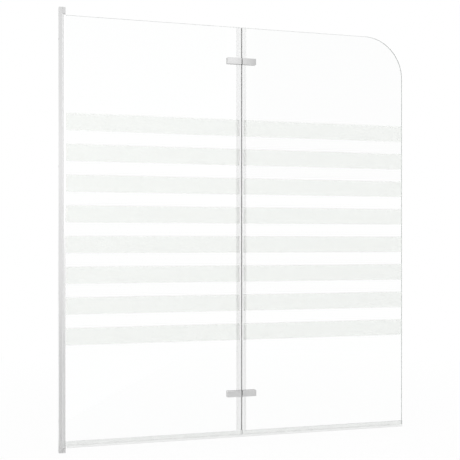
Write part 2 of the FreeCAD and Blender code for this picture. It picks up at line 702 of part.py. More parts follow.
def make_hinge_pads(name, side, level):
    """One pad on each face of the glass, inside the edge of the plates."""
    pads = []
    for face, plane, reverse in (("front", HALF_GLASS, False), ("back", f"-{HALF_GLASS}", True)):
        body = new_body(f"{name}_{face}")
        outline = new_sketch(body, "XZ_Plane", plane)
        half = "(dims.hinge_height / 2 - dims.pad_inset)"
        near_end = f"{side} * (dims.glass_gap / 2 + dims.pad_inset)"
        far_end = f"{side} * (dims.hinge_wing - dims.pad_inset)"
        draw_rectangle(outline, near_end, far_end, f"-{half}", half)
        draw_clamp_holes(outline, side, CLAMP_HOLE)
        pad(body, outline, "dims.hinge_pad", reverse=reverse)
        place(body, "dims.seam_position", "0", level)
        pads.append(body)
    group(name, pads)


def make_clamp_sleeves(name, side, level):
    sleeves = []
    for i, clamp in enumerate(CLAMPS, start=1):
        body = new_body(f"{name}_{i}")
        ring = new_sketch(body, "XZ_Plane")
        draw_circle(ring, "0", "0", "dims.glass_hole_diameter / 2 - dims.sleeve_fit")
        draw_circle(ring, "0", "0", "dims.clamp_diameter / 2 + dims.sleeve_bore_fit")
        pad(body, ring, "dims.glass_thickness", symmetric=True)
        place(body, f"dims.seam_position + {side} * {clamp}", "0", level)
        sleeves.append(body)
    group(name, sleeves)


def make_clamp_screws(name, side, level):
    """Countersunk screws, flush with the back leaf, that pull the front plate to the glass."""
    length = "(dims.hinge_plate + 2 * dims.hinge_pad + dims.glass_thickness + dims.clamp_thread)"
    shank, head = "dims.clamp_diameter / 2", "dims.clamp_head_diameter / 2"
    screws = []
    for i, clamp in enumerate(CLAMPS, start=1):
        body = new_body(f"{name}_{i}")
        section = new_sketch(body, "XY_Plane")
        draw_polygon(section, [
            ("0", f"-{length}"), (shank, f"-{length}"), (shank, f"{shank} - {head}"),
            (head, "0"), ("0", "0"),
        ])
        revolve(body, section)
        socket = new_sketch(body, "XZ_Plane")
        draw_hexagon(socket, "dims.clamp_socket_radius")
        pocket(body, socket, "dims.clamp_socket_depth", reverse=True)
        place(body, f"dims.seam_position + {side} * {clamp}", HINGE_BACK, level)
        screws.append(body)
    group(name, screws)


def make_hinge_pin(name, level):
    body = keep(new_body(name))
    circle = new_sketch(body, "XY_Plane")
    draw_circle(circle, "0", "0", "dims.pin_diameter / 2")
    pad(body, circle, "dims.hinge_height", symmetric=True)
    dress_edges(body, "Chamfer", "dims.pin_edge", is_circle)
    place(body, "dims.seam_position", "dims.pin_setback", level)


def make_knuckle_bushes(name, level):
    """Two flanged bushes, from above and below, in the middle knuckle."""
    bushes = []
    for end, upside_down in (("upper", True), ("lower", False)):
        body = new_body(f"{name}_{end}")
        section = new_sketch(body, "XZ_Plane")
        bore, flange = "dims.pin_diameter / 2 + dims.running_fit", "dims.knuckle_flange_diameter / 2"
        seat = "dims.knuckle_bush_flange"
        top = f"{seat} + dims.middle_knuckle / 2"
        draw_polygon(section, [
            (bore, "0"), (flange, "0"), (flange, seat),
            (KNUCKLE_BORE, seat), (KNUCKLE_BORE, top), (bore, top),
        ])
        revolve(body, section)
        drop = f"(dims.middle_knuckle / 2 + {seat})"
        place(body, "dims.seam_position", "dims.pin_setback",
              f"{level} + {drop}" if upside_down else f"{level} - {drop}", upside_down)
        bushes.append(body)
    group(name, bushes)


def make_hinge(hinge, level):
    for wing, side in WINGS.items():
        make_front_plate(f"{hinge}_{wing}_front_plate", side, level)
        make_hinge_pads(f"{hinge}_{wing}_pads", side, level)
        make_clamp_sleeves(f"{hinge}_{wing}_sleeves", side, level)
        make_clamp_screws(f"{hinge}_{wing}_screws", side, level)
    make_inner_back_leaf(f"{hinge}_inner_back_leaf", level)
    make_outer_back_leaf(f"{hinge}_outer_back_leaf", level)
    make_hinge_pin(f"{hinge}_hinge_pin", level)
    make_knuckle_bushes(f"{hinge}_knuckle_bushes", level)


def write_pieces():
    doc.recompute()
    for item in doc.Objects:
        if "Invalid" in item.State or "Error" in item.State:
            raise RuntimeError(f"{item.Label} is {item.State}")
    for piece in pieces:
        if piece.Shape.isNull() or not piece.Shape.isValid() or not piece.Shape.Solids:
            raise RuntimeError(f"{piece.Label} has no valid shape")
    os.makedirs("parts", exist_ok=True)
    for piece in pieces:
        piece.Shape.exportStep(f"parts/{piece.Label}.step")
        print(piece.Label, len(piece.Shape.Solids), round(piece.Shape.Volume, 1))


make_wall_channel()
make_pivot_block("upper_pivot_block", "dims.upper_block_height", UPPER_BLOCK_FOOT, up=True)
make_pivot_block("lower_pivot_block", "dims.lower_block_height", LOWER_BLOCK_HEAD, up=False)
make_pivot_bush("upper_pivot_bush", f"{UPPER_BLOCK_FOOT} - dims.bush_flange", upside_down=False)
make_pivot_bush("lower_pivot_bush", f"{LOWER_BLOCK_HEAD} + dims.bush_flange", upside_down=True)
make_block_screws()
make_wiper_seal("front_wiper_seal", -1)
make_wiper_seal("back_wiper_seal", 1)

make_pivot_rod()
make_pivot_plug("upper_pivot_plug", "dims.upper_tongue", ROD_HEAD, upside_down=False)
make_pivot_plug("lower_pivot_plug", "dims.lower_tongue", ROD_FOOT, upside_down=True)
make_glazing_gasket()
make_inner_glass()
make_outer_glass()
FROST_START = f"dims.pivot_offset + {ROD_RADIUS} + dims.frost_rod_gap"
FROST_END = "dims.screen_width - dims.frost_margin"
make_frost_bands("inner_frost_bands", FROST_START, f"{INNER_END} - dims.frost_fold_gap")
make_frost_bands("outer_frost_bands", f"{OUTER_START} + dims.frost_fold_gap", FROST_END)
DRIP_START = f"dims.pivot_offset + {ROD_RADIUS} + dims.drip_rod_gap"
DRIP_TRIM = f"{HALF_CHANNEL} + dims.drip_clearance - {ROD_RADIUS} - dims.drip_rod_gap"
DRIP_END = "dims.seam_position - dims.drip_joint / 2"
make_bottom_seal("inner_bottom_seal", DRIP_START, DRIP_END, DRIP_TRIM)
make_bottom_seal("outer_bottom_seal", "dims.seam_position + dims.drip_joint / 2", "dims.screen_width")
for span, (bottom, top) in fold_spans().items():
    make_fold_seal(f"inner_fold_seal_{span}", INNER, "dims.inner_fold_leg", INNER_END, bottom, top)
    make_fold_seal(f"outer_fold_seal_{span}", OUTER, "dims.outer_fold_leg", OUTER_START, bottom, top)
    make_fold_bulb(f"fold_bulb_{span}", bottom, top)
for hinge, level in HINGES.items():
    make_hinge(hinge, level)
write_pieces()
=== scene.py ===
import math
from typing import NamedTuple

import bmesh
import bpy
from bpy.props import FloatProperty, FloatVectorProperty, PointerProperty
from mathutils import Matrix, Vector


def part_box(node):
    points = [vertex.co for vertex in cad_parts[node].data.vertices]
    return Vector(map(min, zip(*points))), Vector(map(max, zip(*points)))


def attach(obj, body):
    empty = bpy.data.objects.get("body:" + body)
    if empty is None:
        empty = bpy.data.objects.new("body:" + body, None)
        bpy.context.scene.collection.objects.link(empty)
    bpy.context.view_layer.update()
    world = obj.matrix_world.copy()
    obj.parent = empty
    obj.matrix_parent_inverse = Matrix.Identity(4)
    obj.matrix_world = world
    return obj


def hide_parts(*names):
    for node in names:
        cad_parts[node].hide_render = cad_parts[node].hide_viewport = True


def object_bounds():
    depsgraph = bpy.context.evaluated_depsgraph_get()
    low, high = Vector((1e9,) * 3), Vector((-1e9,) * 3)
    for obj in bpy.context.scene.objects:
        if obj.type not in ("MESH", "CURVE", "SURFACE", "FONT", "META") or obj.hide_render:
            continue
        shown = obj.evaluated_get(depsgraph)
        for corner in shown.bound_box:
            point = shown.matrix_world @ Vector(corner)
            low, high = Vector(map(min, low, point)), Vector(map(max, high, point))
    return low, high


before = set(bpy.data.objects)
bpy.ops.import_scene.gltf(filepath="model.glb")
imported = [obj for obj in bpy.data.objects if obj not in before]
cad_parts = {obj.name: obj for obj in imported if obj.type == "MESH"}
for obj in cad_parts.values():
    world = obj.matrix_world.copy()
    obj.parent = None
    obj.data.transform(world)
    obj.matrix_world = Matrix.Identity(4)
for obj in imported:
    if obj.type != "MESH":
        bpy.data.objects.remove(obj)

CAD_LOW, CAD_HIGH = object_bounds()

bl_info = {
    "name": "Folding bath screen",
    "version": (1, 0, 0),
    "blender": (4, 5, 0),
    "location": "3D View > Sidebar > Bath screen",
    "description": "Dresses the packed bath screen and sets up its studio",
    "category": "Object",
}

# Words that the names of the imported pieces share
LEVELS = ("upper", "lower")
WINGS = ("inner", "outer")
SPANS = ("lower", "middle", "upper")
PANELS = {"inner": "inner_panel", "outer": "outer_panel"}

# Directions of the frame: from the wall along the screen, from its front to its back, and up
ALONG = Vector((1.0, 0.0, 0.0))
BACK = Vector((0.0, 1.0, 0.0))
UP = Vector((0.0, 0.0, 1.0))
QUARTER_TURN = math.radians(90.0)

# Fineness of the new meshes; places that agree to so many digits of a metre are the same
BEVEL_SEGMENTS = 4
CORNER_STEPS = 40
SHARP_TURN = math.radians(40.0)
PLACE_DIGITS = 5

# Grain of the finishes: waves per metre along X, Y and Z, and height of the relief in metres
DRAWN_LINES = (2600.0, 2600.0, 3.0)
DRAWN_PATCHES = (40.0, 40.0, 5.0)
SOFT_LINES = (1200.0, 1200.0, 300.0)
SOFT_PATCHES = (100.0, 100.0, 20.0)
FINE_RELIEF = 0.000004
SOFT_RELIEF = 0.00001
RELIEF_STRENGTH = 0.5
GRAIN_DETAIL = 3.0
GRAIN_LIMITS = (0.3, 0.7)


def even(waves):
    """A grain that is the same in every direction."""
    return (waves, waves, waves)


FROST_GRAIN = even(900.0)


# Sizes and colours that a user would change


def length(name, description, default):
    """A size in metres."""
    return FloatProperty(
        name=name, description=description, default=default, min=0.0, unit="LENGTH", precision=5,
    )


def colour(name, description, default):
    """A plain colour."""
    return FloatVectorProperty(
        name=name, description=description, default=default, min=0.0, max=1.0, size=3, subtype="COLOR",
    )


def share(name, description, default):
    """A number from none to all."""
    return FloatProperty(
        name=name, description=description, default=default, min=0.0, max=1.0, subtype="FACTOR",
    )


def brightness(name, description, default):
    """A strength of light, where 1 is white."""
    return FloatProperty(name=name, description=description, default=default, min=0.0)


class BathScreenGlass(bpy.types.PropertyGroup):
    """Panes, their ground edges and the frosted stripes"""

    pale_tint: colour("Pale tint", "Clearest glass", (0.998, 1.0, 0.999))
    deep_tint: colour("Deep tint", "Faintly green glass", (0.993, 0.998, 0.996))
    edge_inset: length("Edge inset", "Glass skin over the ground edge at the top", 0.0003)
    side_inset: length("Side inset", "Glass skin over the ground edge at the free side", 0.0011)
    edge_flat: length("Edge flat", "Width of the ground edge at the top", 0.0026)
    side_flat: length("Side flat", "Width of the ground edge at the free side", 0.0042)
    edge_layer: length("Edge layer", "Thickness of the ground layer", 0.0001)
    rod_gap: length("Rod gap", "Pivot rod to the start of the ground edge", 0.0010)
    end_gap: length("End gap", "End of a ground edge to the corner of the glass", 0.0005)
    edge_pale: colour("Edge pale", "Lighter grain of the ground edge", (0.40, 0.45, 0.43))
    edge_deep: colour("Edge deep", "Darker grain of the ground edge", (0.30, 0.35, 0.33))
    frost_gap: length("Frost gap", "Glass to the back of the stripes", 0.00002)
    frost_layer: length("Frost layer", "Thickness of the stripes", 0.00008)
    frost_pale: colour("Frost pale", "Lighter grain of the stripes", (0.96, 0.99, 0.95))
    frost_deep: colour("Frost deep", "Darker grain of the stripes", (0.92, 0.95, 0.91))
    frost_open: share("Frost open", "Opacity of one face in the thin grain", 0.24)
    frost_dense: share("Frost dense", "Opacity of one face in the dense grain", 0.32)


class BathScreenSeals(bpy.types.PropertyGroup):
    """Clear seals at the fold and at the foot"""

    pale_tint: colour("Pale tint", "Clearest plastic of the fold seals", (0.990, 0.990, 0.990))
    deep_tint: colour("Deep tint", "Cloudy streaks of the fold seals", (0.970, 0.970, 0.970))
    # The haze tint on the back legs also carries painted shade: it reaches further up the back towards the
    # foot.
    haze_and_shade_tint: colour("Haze tint", "Haze on the back of the fold seals", (0.840, 0.840, 0.840))
    haze_shade_lead: share("Haze lead", "Share of the haze that is clear at the top of the fold", 0.62)
    # The clear spans beside the webs are a painted highlight along the fold.
    inner_highlight_clear: length("Inner clear", "Leg of an inner fold seal that has no haze", 0.0010)
    outer_highlight_clear: length("Outer clear", "Leg of an outer fold seal that has no haze", 0.0038)
    drip_pale: colour("Drip pale", "Clearest plastic of the bottom seals", (0.925, 0.93, 0.925))
    drip_deep: colour("Drip deep", "Cloudy streaks of the bottom seals", (0.90, 0.905, 0.90))
    fin_tint: colour("Fin tint", "Milky tip of the soft fins", (0.80, 0.805, 0.80))
    fin_fade: length("Fin fade", "Edge of the glass down to the start of the milky tips", 0.004)
    fold_wall: length("Fold wall", "Legs of the fold seals", 0.0010)
    fold_web: length("Fold web", "Web of the fold seals past the glass", 0.00165)
    glass_gap: length("Glass gap", "Web of a seal to the edge of the glass", 0.00002)
    joint_gap: length("Joint gap", "Seal to the piece beside it at the fold", 0.00005)
    drip_wall: length("Drip wall", "Legs of the bottom seals", 0.0011)
    drip_web: length("Drip web", "Web under the glass", 0.0012)
    drip_fin: length("Drip fin", "Thickness of the fins", 0.0010)
    drip_back: length("Drip back", "Edge of the glass down to the back fin's tip", 0.0055)
    drip_back_leg: length("Drip back leg", "Height of the back leg on the glass", 0.0110)
    drip_trim: length("Drip trim", "Front of the inner seal cut back at the rod", 0.0020)
    corner: length("Corner", "Rounding of the seals' corners", 0.00035)
    fold_fill: length("Fold fill", "Fill in the inner corners of the fold seals", 0.00038)


class BathScreenHardware(bpy.types.PropertyGroup):
    """Metal, plastic and rubber pieces"""

    plate_edge: length("Plate edge", "Rounding of the front plates", 0.0009)
    plate_corner: length("Plate corner", "Rounding of the front plates' corners", 0.0010)
    plate_rim: length("Plate rim", "Rim of the flat face inside the rounding", 0.0001)
    aluminium_pale: colour("Aluminium pale", "Lighter lines of the profile", (0.825, 0.825, 0.825))
    aluminium_deep: colour("Aluminium deep", "Darker lines of the profile", (0.755, 0.755, 0.755))
    rod_pale: colour("Rod pale", "Lighter lines of the pivot rod", (0.89, 0.89, 0.89))
    rod_deep: colour("Rod deep", "Darker lines of the pivot rod", (0.83, 0.83, 0.83))
    block_pale: colour("Block pale", "Lighter grain of the end blocks", (0.79, 0.79, 0.79))
    block_deep: colour("Block deep", "Darker grain of the end blocks", (0.75, 0.75, 0.75))
    chrome_pale: colour("Chrome pale", "Clean chrome", (0.82, 0.82, 0.82))
    chrome_deep: colour("Chrome deep", "Chrome under a faint film", (0.79, 0.79, 0.79))
    steel_pale: colour("Steel pale", "Lighter lines of the screws and pins", (0.68, 0.68, 0.68))
    steel_deep: colour("Steel deep", "Darker lines of the screws and pins", (0.55, 0.55, 0.55))
    nylon_pale: colour("Nylon pale", "Lighter mottle of the bearings", (0.70, 0.70, 0.69))
    nylon_deep: colour("Nylon deep", "Darker mottle of the bearings", (0.62, 0.62, 0.61))
    gasket_pale: colour("Gasket pale", "Lighter mottle of pads and gasket", (0.78, 0.79, 0.78))
    gasket_deep: colour("Gasket deep", "Darker mottle of pads and gasket", (0.68, 0.69, 0.68))
    # The bulb's dark grey is painted shade of the gap at the fold.
    rubber_shade_pale: colour("Rubber pale", "Lighter grain of the bulb", (0.43, 0.43, 0.43))
    rubber_shade_deep: colour("Rubber deep", "Darker grain of the bulb", (0.37, 0.37, 0.37))
    # The wipers' pale colour is a painted highlight of the rod along the lips of the channel.
    wiper_highlight_pale: colour("Wiper pale", "Lighter grain of the wipers", (0.93, 0.93, 0.93))
    wiper_highlight_deep: colour("Wiper deep", "Darker grain of the wipers", (0.85, 0.85, 0.85))


class BathScreenStudio(bpy.types.PropertyGroup):
    """Camera, lamps, floor and background"""

    eye: FloatVectorProperty(
        name="Eye", description="Place of the camera", default=(-0.404, -3.027, -0.040), size=3,
        subtype="XYZ", unit="LENGTH",
    )
    turn: FloatProperty(
        name="Turn", description="Camera's turn towards the free edge", default=math.radians(17.75),
        subtype="ANGLE",
    )
    lens: FloatProperty(
        name="Lens", description="Focal length in millimetres", default=74.9, min=1.0, unit="CAMERA",
    )
    sensor: FloatProperty(
        name="Sensor", description="Sensor width in millimetres", default=36.0, min=1.0, unit="CAMERA",
    )
    rise: share("Rise", "Upward shift of the frame, as a share of its width", 0.0277)
    floor_colour: colour("Floor colour", "Pale floor", (0.76, 0.76, 0.76))
    floor_half: length("Floor half", "Half the side of the floor", 9.0)
    floor_dullness: share("Floor dullness", "Roughness of the floor", 0.9)
    floor_shine: share("Floor shine", "Specular level of the floor", 0.1)
    left_glow: brightness("Left glow", "Radiance of the lamp at the wall side", 1.85)
    right_glow: brightness("Right glow", "Radiance of the lamp at the free side", 0.95)
    room_glow: brightness("Room glow", "Light of the room on dull surfaces", 0.70)
    pane_glow: brightness("Pane glow", "Light of the lamps on dull surfaces behind clear ones", 0.5)
    wall_glow: brightness("Wall glow", "Brightest band of the studio wall in reflections", 1.08)


class BathScreenSettings(bpy.types.PropertyGroup):
    """All the sizes and colours of the dressed bath screen"""

    glass: PointerProperty(type=BathScreenGlass)
    seals: PointerProperty(type=BathScreenSeals)
    hardware: PointerProperty(type=BathScreenHardware)
    studio: PointerProperty(type=BathScreenStudio)


def settings():
    """The sizes and colours that are set in this scene."""
    return bpy.context.scene.bath_screen


# Fixtures of the studio, in metres and degrees


class Lamp(NamedTuple):
    """A soft upright lamp; its bearing is measured from the front towards the free edge."""

    place: tuple
    bearing: float
    width: float
    height: float


class Card(NamedTuple):
    """An upright card with a shaded glow: its sides and its fade lie along X, and its ends along Z."""

    name: str
    sides: tuple
    depth: float
    ends: tuple
    fade: tuple
    glows: tuple


class FloorGlow(NamedTuple):
    """Glow of the floor to one kind of ray, from a share at the start of a measure to all at its end."""

    ray: str
    measure: str
    near: float
    start: float
    end: float


class WallFade(NamedTuple):
    """Shade of the studio wall, from full light at one slope of a ray to a share of it at another."""

    start: float
    end: float
    kept: float


LEFT_LAMP = Lamp(place=(-0.95, -1.70, 0.90), bearing=-36.0, width=1.5, height=1.8)
RIGHT_LAMP = Lamp(place=(3.0, -0.6, 0.98), bearing=75.0, width=3.2, height=1.9)

# Two cards before the screen and two behind it
CARDS = (
    Card(
        name="grey_card", sides=(1.5, 3.1), depth=-3.0, ends=(0.4, 1.8),
        fade=(1.50, 1.75), glows=(1.05, 0.66),
    ),
    Card(
        name="left_card", sides=(-1.9, -0.25), depth=-2.0, ends=(0.15, 1.9),
        fade=(-0.60, -0.25), glows=(1.25, 1.00),
    ),
    Card(
        name="back_card", sides=(-0.12, 7.0), depth=2.6, ends=(-0.7, 2.2),
        fade=(0.2, 2.6), glows=(0.95, 0.60),
    ),
    Card(
        name="side_card", sides=(-7.0, -0.60), depth=2.6, ends=(-0.7, 2.2),
        fade=(-2.6, -0.6), glows=(0.60, 0.95),
    ),
)

# The middle of the floor, a spot on it before the screen, and the slanted way to the floor behind
FLOOR_MIDDLE = Vector(((CAD_LOW.x + CAD_HIGH.x) / 2, 0.0, CAD_LOW.z))
FLOOR_AHEAD = Vector((0.9, -1.0, CAD_LOW.z))
FLOOR_SLANT = 2.0
FLOOR_BEHIND = BACK - ALONG * FLOOR_SLANT

# The floor as the camera and clear pieces see it, and as bright metal sees it
CLEAR_RAYS = ("Is Camera Ray", "Is Transmission Ray", "Is Singular Ray")
FLOOR_GLOWS = (
    *(FloorGlow(ray=ray, measure="around", near=0.97, start=0.9, end=2.6) for ray in CLEAR_RAYS),
    FloorGlow(ray="Is Glossy Ray", measure="ahead", near=0.16, start=0.8, end=6.0),
    FloorGlow(ray="Is Glossy Ray", measure="behind", near=0.0, start=0.0, end=0.35),
)

# The studio wall above and below its brightest band
WALL_FADES = (
    WallFade(start=0.09, end=0.28, kept=0.79),
    WallFade(start=0.07, end=-0.06, kept=0.84),
)


# Nodes


def feed(tree, source, socket):
    """Links an output to the socket, or sets the socket to a plain value."""
    if isinstance(source, bpy.types.NodeSocket):
        tree.links.new(source, socket)
    else:
        socket.default_value = source


def add_math(tree, operation, *sources, clamp=False):
    """The result of an operation on outputs and plain numbers."""
    node = tree.nodes.new("ShaderNodeMath")
    node.operation = operation
    node.use_clamp = clamp
    for source, socket in zip(sources, node.inputs):
        feed(tree, source, socket)
    return node.outputs["Value"]


def add_measure(tree, operation, vector, space="Object"):
    """Distance of a point from a spot, or its dot product with a way."""
    place = tree.nodes.new("ShaderNodeTexCoord")
    node = tree.nodes.new("ShaderNodeVectorMath")
    node.operation = operation
    node.inputs[1].default_value = vector
    tree.links.new(place.outputs[space], node.inputs[0])
    return node.outputs["Value"]


def add_fade(tree, source, start, end, first=0.0, last=1.0, smooth=False):
    """Goes from the first value to the last while the source goes from start to end."""
    node = tree.nodes.new("ShaderNodeMapRange")
    node.interpolation_type = "SMOOTHSTEP" if smooth else "LINEAR"
    feed(tree, source, node.inputs["Value"])
    feed(tree, start, node.inputs["From Min"])
    feed(tree, end, node.inputs["From Max"])
    feed(tree, first, node.inputs["To Min"])
    feed(tree, last, node.inputs["To Max"])
    return node.outputs["Result"]


def add_colour_mix(tree, factor, first, second):
    """A colour between two others."""
    node = tree.nodes.new("ShaderNodeMix")
    node.data_type = "RGBA"
    ends = [socket for socket in node.inputs if socket.type == "RGBA"]
    feed(tree, factor, node.inputs["Factor"])
    feed(tree, first, ends[0])
    feed(tree, second, ends[1])
    return next(socket for socket in node.outputs if socket.type == "RGBA")


def blend_glow(tree, factor, plain, strength):
    """Lets a plain surface glow white by a factor."""
    glow = tree.nodes.new("ShaderNodeEmission")
    feed(tree, strength, glow.inputs["Strength"])
    blend = tree.nodes.new("ShaderNodeMixShader")
    tree.links.new(factor, blend.inputs["Fac"])
    tree.links.new(plain, blend.inputs[1])
    tree.links.new(glow.outputs["Emission"], blend.inputs[2])
    tree.links.new(blend.outputs["Shader"], tree.nodes["Material Output"].inputs["Surface"])


def mirrored_rays(tree):
    """One for a ray that a bright surface sends back, none for a ray that passes through glass."""
    rays = tree.nodes.new("ShaderNodeLightPath").outputs
    return add_math(tree, "SUBTRACT", rays["Is Glossy Ray"], rays["Is Transmission Ray"], clamp=True)


def grain_group():
    """Stretched noise on Object coordinates, as a mask and as a value between two limits."""
    name = "stretched_grain"
    if name in bpy.data.node_groups:
        return bpy.data.node_groups[name]
    tree = bpy.data.node_groups.new(name, "ShaderNodeTree")
    tree.interface.new_socket(name="Frequency", in_out="INPUT", socket_type="NodeSocketVector")
    for title in ("Low", "High"):
        tree.interface.new_socket(name=title, in_out="INPUT", socket_type="NodeSocketFloat")
    for title in ("Mask", "Value"):
        tree.interface.new_socket(name=title, in_out="OUTPUT", socket_type="NodeSocketFloat")
    given = tree.nodes.new("NodeGroupInput")
    result = tree.nodes.new("NodeGroupOutput")
    place = tree.nodes.new("ShaderNodeTexCoord")
    stretch = tree.nodes.new("ShaderNodeVectorMath")
    stretch.operation = "MULTIPLY"
    noise = tree.nodes.new("ShaderNodeTexNoise")
    noise.inputs["Scale"].default_value = 1.0
    noise.inputs["Detail"].default_value = GRAIN_DETAIL
    tree.links.new(place.outputs["Object"], stretch.inputs[0])
    tree.links.new(given.outputs["Frequency"], stretch.inputs[1])
    tree.links.new(stretch.outputs["Vector"], noise.inputs["Vector"])
    mask = add_fade(tree, noise.outputs["Fac"], *GRAIN_LIMITS)
    value = add_fade(tree, mask, 0.0, 1.0, given.outputs["Low"], given.outputs["High"])
    tree.links.new(mask, result.inputs["Mask"])
    tree.links.new(value, result.inputs["Value"])
    return tree


def add_grain(tree, frequency, low=0.0, high=1.0):
    """The grain at a frequency of its own, with its value between two limits."""
    node = tree.nodes.new("ShaderNodeGroup")
    node.node_tree = grain_group()
    node.inputs["Frequency"].default_value = frequency
    node.inputs["Low"].default_value = low
    node.inputs["High"].default_value = high
    return node


# Materials


def grained_material(name, deep, pale, grain, roughness, patches=None, relief=0.0, **sockets):
    """One shader whose colour follows a grain, with patchy roughness and a relief of the grain."""
    material = bpy.data.materials.new(name)
    material.use_nodes = True
    tree = material.node_tree
    shader = tree.nodes["Principled BSDF"]
    for title, number in sockets.items():
        shader.inputs[title.replace("_", " ")].default_value = number
    mask = add_grain(tree, grain).outputs["Mask"]
    mixed = add_colour_mix(tree, mask, (*deep, 1.0), (*pale, 1.0))
    tree.links.new(mixed, shader.inputs["Base Color"])
    if patches:
        dull = add_grain(tree, patches, *roughness)
        tree.links.new(dull.outputs["Value"], shader.inputs["Roughness"])
    else:
        shader.inputs["Roughness"].default_value = roughness[0]
    if relief:
        bump = tree.nodes.new("ShaderNodeBump")
        bump.inputs["Strength"].default_value = RELIEF_STRENGTH
        bump.inputs["Distance"].default_value = relief
        tree.links.new(mask, bump.inputs["Height"])
        tree.links.new(bump.outputs["Normal"], shader.inputs["Normal"])
    return material


def tint_towards(material, tint, factor):
    """Turns the colour of a material to a tint by a factor."""
    tree = material.node_tree
    base = tree.nodes["Principled BSDF"].inputs["Base Color"]
    clear = base.links[0].from_socket
    tree.links.new(add_colour_mix(tree, factor, clear, (*tint, 1.0)), base)


def anodised_aluminium(sizes):
    """The wall profile: fine lines drawn along its length."""
    return grained_material(
        "anodised_aluminium", sizes.aluminium_deep, sizes.aluminium_pale, grain=DRAWN_LINES,
        roughness=(0.18, 0.26), patches=DRAWN_PATCHES, relief=FINE_RELIEF, Metallic=1.0,
    )


def bright_rod_aluminium(sizes):
    """The pivot rod: the profile's lines, brighter."""
    return grained_material(
        "bright_rod_aluminium", sizes.rod_deep, sizes.rod_pale, grain=DRAWN_LINES,
        roughness=(0.16, 0.24), patches=DRAWN_PATCHES, relief=FINE_RELIEF, Metallic=1.0,
    )


def satin_block(sizes):
    """The end blocks: a fine even grain."""
    return grained_material(
        "satin_block", sizes.block_deep, sizes.block_pale, grain=even(3000.0),
        roughness=(0.28, 0.36), patches=even(120.0), relief=FINE_RELIEF, Metallic=1.0,
    )


def mirror_chrome(sizes):
    """The hinges: a mirror under a faint film."""
    return grained_material(
        "mirror_chrome", sizes.chrome_deep, sizes.chrome_pale, grain=even(60.0),
        roughness=(0.05, 0.10), patches=even(180.0), Metallic=1.0,
    )


def turned_steel(sizes):
    """Screws and hinge pins."""
    return grained_material(
        "turned_steel", sizes.steel_deep, sizes.steel_pale, grain=even(900.0),
        roughness=(0.20, 0.32), patches=even(400.0), relief=FINE_RELIEF, Metallic=1.0,
    )


def bearing_nylon(sizes):
    """Bushes and pivot plugs."""
    return grained_material(
        "bearing_nylon", sizes.nylon_deep, sizes.nylon_pale, grain=even(500.0),
        roughness=(0.42, 0.58), patches=even(200.0), relief=SOFT_RELIEF,
    )


def milky_gasket(sizes):
    """The glazing gasket, and the pads and sleeves of the hinges."""
    return grained_material(
        "milky_gasket", sizes.gasket_deep, sizes.gasket_pale, grain=(300.0, 300.0, 60.0),
        roughness=(0.32, 0.48), patches=(150.0, 150.0, 30.0), relief=SOFT_RELIEF,
    )


def gap_shade_rubber(sizes):
    """The bulb of the fold: its dark grey is painted shade of the gap at the fold."""
    return grained_material(
        "gap_shade_rubber", sizes.rubber_shade_deep, sizes.rubber_shade_pale, grain=SOFT_LINES,
        roughness=(0.55, 0.70), patches=SOFT_PATCHES, relief=SOFT_RELIEF,
    )


def wiper_painted_highlight(sizes):
    """The wiper seals beside the pivot rod: their pale colour is a painted highlight of the rod along the
    lips of the channel.
    """
    return grained_material(
        "wiper_painted_highlight", sizes.wiper_highlight_deep, sizes.wiper_highlight_pale, grain=SOFT_LINES,
        roughness=(0.50, 0.65), patches=SOFT_PATCHES, relief=SOFT_RELIEF,
    )


def clear_toughened_glass(sizes):
    """The panes: clear, with a tint that wanders slowly."""
    return grained_material(
        "clear_toughened_glass", sizes.deep_tint, sizes.pale_tint, grain=(3.0, 3.0, 2.0),
        roughness=(0.0, 0.0), Transmission_Weight=1.0, IOR=1.5,
    )


def ground_glass_edge(sizes):
    """The green-grey ground edge of a pane."""
    return grained_material(
        "ground_glass_edge", sizes.edge_deep, sizes.edge_pale, grain=even(1500.0),
        roughness=(0.45, 0.60), patches=even(200.0),
    )


def fired_frost(sizes):
    """The stripes: a fine grain that lets most of the light through."""
    material = grained_material(
        "fired_frost", sizes.frost_deep, sizes.frost_pale, grain=FROST_GRAIN,
        roughness=(0.50, 0.65), patches=even(60.0), relief=SOFT_RELIEF,
    )
    tree = material.node_tree
    grain = add_grain(tree, FROST_GRAIN, sizes.frost_open, sizes.frost_dense)
    tree.links.new(grain.outputs["Value"], tree.nodes["Principled BSDF"].inputs["Alpha"])
    return material


def clear_plastic(name, deep, pale):
    """Clear glossy plastic with cloudy streaks."""
    return grained_material(
        name, deep, pale, grain=even(30.0), roughness=(0.01, 0.05), patches=even(90.0),
        Transmission_Weight=1.0, IOR=1.45,
    )


def clear_fold_plastic(sizes):
    """Clear plastic with a grey haze on the back of its legs, whose spread up towards the foot is painted
    shade; the clear legs beside the webs are a painted highlight.
    """
    material = clear_plastic("clear_fold_plastic", sizes.deep_tint, sizes.pale_tint)
    tree = material.node_tree
    low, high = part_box("inner_glass")
    thick = high.y - low.y
    lean = sizes.haze_shade_lead * thick / (high.z - low.z)
    start = low.y - lean * low.z
    # Painted shade: the haze on the back of the legs reaches further up towards the foot.
    leaning = add_measure(tree, "DOT_PRODUCT", BACK - UP * lean)
    haze_and_shade = add_fade(tree, leaning, start, start + thick)
    # Painted highlight: the legs stay clear next to the webs, so the fold shows a bright line.
    highlight_start = high.x - sizes.inner_highlight_clear
    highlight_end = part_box("outer_glass")[0].x + sizes.outer_highlight_clear
    middle, half = (highlight_end + highlight_start) / 2, (highlight_end - highlight_start) / 2
    web_highlight = add_math(tree, "COMPARE", add_measure(tree, "DOT_PRODUCT", ALONG), middle, half)
    tint_towards(material, sizes.haze_and_shade_tint, add_math(tree, "SUBTRACT", haze_and_shade, web_highlight, clamp=True))
    return material


